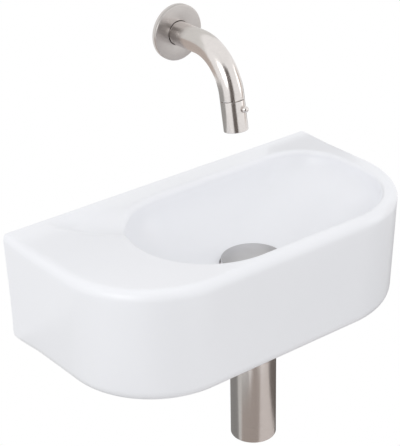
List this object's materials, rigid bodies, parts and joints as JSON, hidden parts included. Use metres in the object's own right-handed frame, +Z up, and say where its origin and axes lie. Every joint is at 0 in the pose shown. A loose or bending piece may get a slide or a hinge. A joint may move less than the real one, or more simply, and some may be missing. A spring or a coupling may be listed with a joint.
{
  "type": "wall-hung hand basin",
  "caption": "Small wall-hung ceramic hand basin with a flat side deck, an oval bowl, a wall tap with a turning end sleeve, and a bottle trap below.",
  "frame": {"origin": "on the wall's face, midway between the basin's two wall fixings", "axes": "+X right along the wall, +Y into the wall, +Z up"},
  "size_m": [0.3792, 0.2606, 0.4298],
  "materials": {
    "glazed_ceramic": "white glaze, soft gloss",
    "brushed_steel": "brushed, warm grey, satin",
    "cover_steel": "smooth satin grey",
    "brass": "machined",
    "fixing_steel": "zinc plated",
    "bush_plastic": "moulded nylon",
    "trap_plastic": "moulded polypropylene",
    "seal_rubber": "moulded nitrile rubber",
    "disc_ceramic": "lapped alumina",
    "jet_plastic": "moulded acetal"
  },
  "bodies": {
    "frame": {"basin": "glazed_ceramic", "wall_studs": "fixing_steel", "stud_bushes": "bush_plastic", "stud_washers": "fixing_steel", "stud_nuts": "fixing_steel", "waste_body": "brushed_steel", "flange_gasket": "seal_rubber", "lower_gasket": "seal_rubber", "slip_washer": "trap_plastic", "waste_backnut": "brass", "inlet_seal": "seal_rubber", "inlet_nut": "brushed_steel", "trap_head": "brushed_steel", "dip_tube": "trap_plastic", "cup_ring": "seal_rubber", "outlet_nut": "brushed_steel", "outlet_seal": "seal_rubber", "outlet_pipe": "brushed_steel", "outlet_rosette": "brushed_steel", "outlet_grip": "seal_rubber", "tap_rosette": "brushed_steel", "rosette_ring": "seal_rubber", "spout_tube": "brushed_steel", "inlet_nipple": "brass", "nipple_rings": "seal_rubber", "spout_grub_screw": "fixing_steel", "valve_body": "brass", "valve_rings": "seal_rubber", "sleeve_circlip": "fixing_steel", "fixed_disc": "disc_ceramic"},
    "end_sleeve": {"nozzle_sleeve": "brushed_steel", "lever_pin": "brushed_steel", "moving_disc": "disc_ceramic", "aerator_housing": "brushed_steel", "aerator_insert": "jet_plastic", "aerator_seal": "seal_rubber"},
    "cover": {"waste_cover": "cover_steel", "cover_stem": "trap_plastic", "cover_ring": "seal_rubber"},
    "cup": {"trap_cup": "brushed_steel"}
  },
  "joints": [
    {"name": "tap_turn", "type": "hinge", "parent": "frame", "child": "end_sleeve", "pos_m": [0.02, -0.09029, 0.12143], "axis": [0, -0.1736, -0.9848], "range_deg": [0, 90]},
    {"name": "waste_lift", "type": "slide", "parent": "frame", "child": "cover", "axis": [0, 0, 1], "range_m": [0, 0.06]},
    {"name": "cup_removal", "type": "slide", "parent": "frame", "child": "cup", "axis": [0, 0, -1], "range_m": [0, 0.09]}
  ]
}
